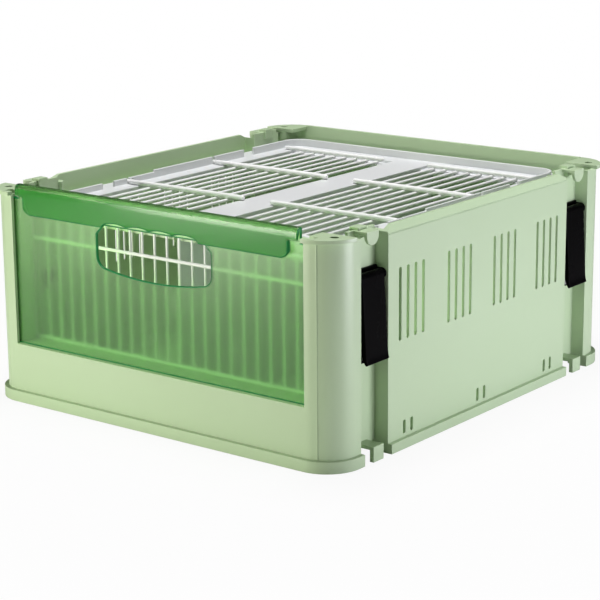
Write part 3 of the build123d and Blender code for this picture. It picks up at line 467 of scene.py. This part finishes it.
def door_styrene(name, pale, deep, clear, rough):
    """Clear green styrene: light goes through it, a little blurred by the tool's polish, and its
    shadow is a green one. The rest of the light is scattered inside the sheet."""
    rubbed = RUBBED_MORE * rough
    material, shader, _ = drifting_plastic(name, pale, deep, rough, rubbed, DOOR_SHINE)
    nodes, links = material.node_tree.nodes, material.node_tree.links
    through = nodes.new("ShaderNodeBsdfTransparent")
    path = nodes.new("ShaderNodeLightPath")
    blend = nodes.new("ShaderNodeMixShader")
    set_inputs(shader, {"Transmission Weight": clear, "IOR": DOOR_IOR})
    set_inputs(through, {"Color": DOOR_SHADOW})
    links.new(path.outputs["Is Shadow Ray"], blend.inputs["Fac"])
    links.new(shader.outputs[0], blend.inputs[1])
    links.new(through.outputs[0], blend.inputs[2])
    links.new(blend.outputs[0], nodes["Material Output"].inputs["Surface"])
    return material


DOOR_STYRENE = door_styrene(
    "door_styrene", pale=(0.29, 0.54, 0.24, 1), deep=(0.26, 0.51, 0.21, 1), clear=0.95, rough=0.2
)
# Painted shade: deeper, less clear copies of the door's styrene for its edges and its lip.
DOOR_EDGE_PAINTED_SHADE = door_styrene(
    "door_edge_painted_shade", pale=(0.004, 0.20, 0.05, 1), deep=(0.003, 0.17, 0.04, 1), clear=0.3, rough=0.3
)
DOOR_LIP_PAINTED_SHADE = door_styrene(
    "door_lip_painted_shade", pale=(0.05, 0.32, 0.05, 1), deep=(0.04, 0.29, 0.04, 1), clear=0.5, rough=0.15
)
DOOR_ROLL = 1.05 * MM
SHEET_FACE = 0.98
SIDEWAYS = 0.5
ROOF_LOW = 184 * MM
LIP_BEFORE = -210 * MM
door = rolled_copy("front_door", "front_door_moulding", DOOR_ROLL, DOOR_STYRENE)
sort_into(door, "front_door", "door_green", "front_door")

# The door is one sheet, and its edges and lip get deeper, less clear copies of its styrene:
# painted shade, which stands in for the darker look that light gives a clear sheet's edges and
# hood. Each face takes the first material, the second where it turns away from the front and
# isn't the roof, and the third on the lip.
door.data.materials.append(DOOR_EDGE_PAINTED_SHADE)
door.data.materials.append(DOOR_LIP_PAINTED_SHADE)
normals = abs(read_rows(door.data.polygons, "normal"))
centers = read_rows(door.data.polygons, "center")
edge_on = normals[:, 1] < SHEET_FACE
on_roof = (centers[:, 2] > ROOF_LOW) & (normals[:, 0] < SIDEWAYS)
on_lip = (centers[:, 1] < LIP_BEFORE) & ~edge_on
choice = np.where(on_lip, 2, np.where(edge_on & ~on_roof, 1, 0))
door.data.polygons.foreach_set("material_index", choice.astype(np.int32))
door.data.update()

# Swing latches: a glossy black lever on a steel pin between the ears of a black bracket, which
# two small screws hold to the channel wall. Four sets, one in each channel.
LATCH_BLACK = plastic(
    "latch_black",
    pale=(0.002, 0.002, 0.002, 1),
    deep=(0.003, 0.003, 0.003, 1),
    rough=0.25,
    rubbed=0.35,
    grain_size=600,
    grain_depth=0.02 * MM,
    shine=0.015,
)
LEVER_ROLL = 0.8 * MM
STEEL_COLOR = (0.56, 0.57, 0.58, 1)
STEEL_GRAIN = 2500
STEEL_SMOOTH, STEEL_DULL = 0.22, 0.38


def bright_steel():
    """Plated steel with a fine grain that blurs its highlights."""
    material = bpy.data.materials.new("bright_steel")
    material.use_nodes = True
    nodes, links = material.node_tree.nodes, material.node_tree.links
    shader = nodes["Principled BSDF"]
    grain = nodes.new("ShaderNodeGroup")
    grain.node_tree = MOULDED_GRAIN
    gloss = nodes.new("ShaderNodeMapRange")
    set_inputs(shader, {"Metallic": 1, "Base Color": STEEL_COLOR})
    set_inputs(grain, {"Grain Size": STEEL_GRAIN})
    set_inputs(gloss, {"To Min": STEEL_SMOOTH, "To Max": STEEL_DULL})
    links.new(grain.outputs["Grain"], gloss.inputs["Value"])
    links.new(gloss.outputs["Result"], shader.inputs["Roughness"])
    return material


BRIGHT_STEEL = bright_steel()
for end in ("front", "back"):
    for side in ("right", "left"):
        corner = f"{end}_{side}"
        lever_node, bracket_node = f"latch_lever_{corner}", f"latch_bracket_{corner}"
        lever = rolled_copy(lever_node, f"lever_{corner}_moulding", LEVER_ROLL, LATCH_BLACK)
        sort_into(lever, f"lever_{corner}", "latch_black", lever_node)
        bracket = rolled_copy(bracket_node, f"bracket_{corner}_moulding", SHELL_ROLL, LATCH_BLACK)
        sort_into(bracket, "carrier_body", "latch_black", bracket_node)
        for kind in ("pin", "screws"):
            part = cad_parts[f"latch_{kind}_{corner}"]
            part.data.materials.clear()
            part.data.materials.append(BRIGHT_STEEL)

# Stage: a pale paper floor under the carrier and a white background. They belong to the
# studio and aren't part of the object.
FLOOR_HALF = 12.0
FLOOR_DROP = 0.2 * MM
PAPER_COLOR = (0.72, 0.72, 0.72, 1)
PAPER_ROUGH = 0.9
NEAR_SHARE, FAR_SHARE = 0.92, 1.0
NEAR, FAR = 0.25, 0.8
WHITE = (1, 1, 1, 1)


def white_to_camera(nodes, links):
    """1 for rays from the camera and through the clear door, and 0 for all others."""
    path = nodes.new("ShaderNodeLightPath")
    seen = nodes.new("ShaderNodeMath")
    seen.operation = "MAXIMUM"
    links.new(path.outputs["Is Camera Ray"], seen.inputs[0])
    links.new(path.outputs["Is Transmission Ray"], seen.inputs[1])
    return seen.outputs[0]


def stage_floor():
    """A pale floor that shows white to the camera far from the carrier, and near it still takes
    the shadow."""
    mesh = bpy.data.meshes.new("studio_floor")
    turns = ((-1, -1), (1, -1), (1, 1), (-1, 1))
    corners = [(x * FLOOR_HALF, y * FLOOR_HALF, -FLOOR_DROP) for x, y in turns]
    mesh.from_pydata(corners, [], [(0, 1, 2, 3)])
    material = bpy.data.materials.new("studio_paper")
    material.use_nodes = True
    nodes, links = material.node_tree.nodes, material.node_tree.links
    shader = nodes["Principled BSDF"]
    glow = nodes.new("ShaderNodeEmission")
    place = nodes.new("ShaderNodeTexCoord")
    radius = nodes.new("ShaderNodeVectorMath")
    radius.operation = "LENGTH"
    share = nodes.new("ShaderNodeMapRange")
    amount = nodes.new("ShaderNodeMath")
    amount.operation = "MULTIPLY"
    blend = nodes.new("ShaderNodeMixShader")
    set_inputs(shader, {"Base Color": PAPER_COLOR, "Roughness": PAPER_ROUGH})
    set_inputs(share, {"From Min": NEAR, "From Max": FAR})
    set_inputs(share, {"To Min": NEAR_SHARE, "To Max": FAR_SHARE})
    links.new(place.outputs["Object"], radius.inputs[0])
    links.new(radius.outputs["Value"], share.inputs["Value"])
    links.new(white_to_camera(nodes, links), amount.inputs[0])
    links.new(share.outputs["Result"], amount.inputs[1])
    links.new(amount.outputs[0], blend.inputs["Fac"])
    links.new(shader.outputs[0], blend.inputs[1])
    links.new(glow.outputs[0], blend.inputs[2])
    links.new(blend.outputs[0], nodes["Material Output"].inputs["Surface"])
    mesh.materials.append(material)
    floor = bpy.data.objects.new("studio_floor", mesh)
    bpy.context.scene.collection.objects.link(floor)


def stage_world(ambient):
    """White to the camera and through the clear door, and a plain grey light otherwise."""
    world = bpy.data.worlds.new("studio_world")
    bpy.context.scene.world = world
    world.use_nodes = True
    nodes, links = world.node_tree.nodes, world.node_tree.links
    nodes.clear()
    out = nodes.new("ShaderNodeOutputWorld")
    seen_sky = nodes.new("ShaderNodeBackground")
    lit_sky = nodes.new("ShaderNodeBackground")
    set_inputs(seen_sky, {"Strength": 1, "Color": WHITE})
    set_inputs(lit_sky, {"Strength": ambient, "Color": WHITE})
    blend = nodes.new("ShaderNodeMixShader")
    links.new(white_to_camera(nodes, links), blend.inputs["Fac"])
    links.new(lit_sky.outputs[0], blend.inputs[1])
    links.new(seen_sky.outputs[0], blend.inputs[2])
    links.new(blend.outputs[0], out.inputs["Surface"])


stage_floor()
stage_world(ambient=0.03)

# Lamps and camera: four flat soft lamps round the carrier, and a camera where the photograph
# was taken from. Its place was fitted to edges and corners of the carrier.
CARRIER_MIDDLE = Vector((0, 0, 0.1))


def softbox(name, place, size, power, color):
    """A flat area lamp at a place round the carrier, facing its middle."""
    lamp = bpy.data.lights.new(name, "AREA")
    lamp.shape = "RECTANGLE"
    lamp.size, lamp.size_y = size
    lamp.energy = power
    lamp.color = color
    stand = bpy.data.objects.new(name, lamp)
    stand.location = place
    turn = (Vector(place) - CARRIER_MIDDLE).to_track_quat("Z", "Y")
    stand.rotation_euler = turn.to_euler()
    bpy.context.scene.collection.objects.link(stand)


softbox("key_front_left", (-0.5, -1.1, 0.16), size=(0.5, 0.34), power=8.3, color=(1, 0.97, 0.88))
softbox("key_right", (0.85, 0.1, 0.1), size=(0.5, 0.18), power=2.2, color=(0.9, 0.88, 1))
softbox("fill_right_back", (1.2, 0.35, 0.1), size=(0.5, 0.18), power=4.4, color=(0.92, 0.86, 1))
softbox("top", (0, 0, 1.3), size=(0.5, 0.5), power=15.5, color=(1, 0.98, 1))

CAMERA_AT = Vector((1.07001, -1.39123, 0.51995))
CAMERA_YAW = radians(37.77)
CAMERA_PITCH = radians(14.32)
CAMERA_ROLL = radians(-0.48)
CAMERA_LENS, CAMERA_SENSOR = 118.86, 36
camera_data = bpy.data.cameras.new("photo_camera")
camera_data.lens = CAMERA_LENS
camera_data.sensor_width = CAMERA_SENSOR
camera = bpy.data.objects.new("photo_camera", camera_data)
aim = Euler((pi / 2 - CAMERA_PITCH, 0, CAMERA_YAW)).to_matrix()
camera.matrix_world = (
    Matrix.Translation(CAMERA_AT)
    @ aim.to_4x4()
    @ Matrix.Rotation(CAMERA_ROLL, 4, "Z")
)
bpy.context.scene.collection.objects.link(camera)
bpy.context.scene.camera = camera
bpy.context.scene.view_settings.view_transform = "Standard"

bpy.context.view_layer.update()
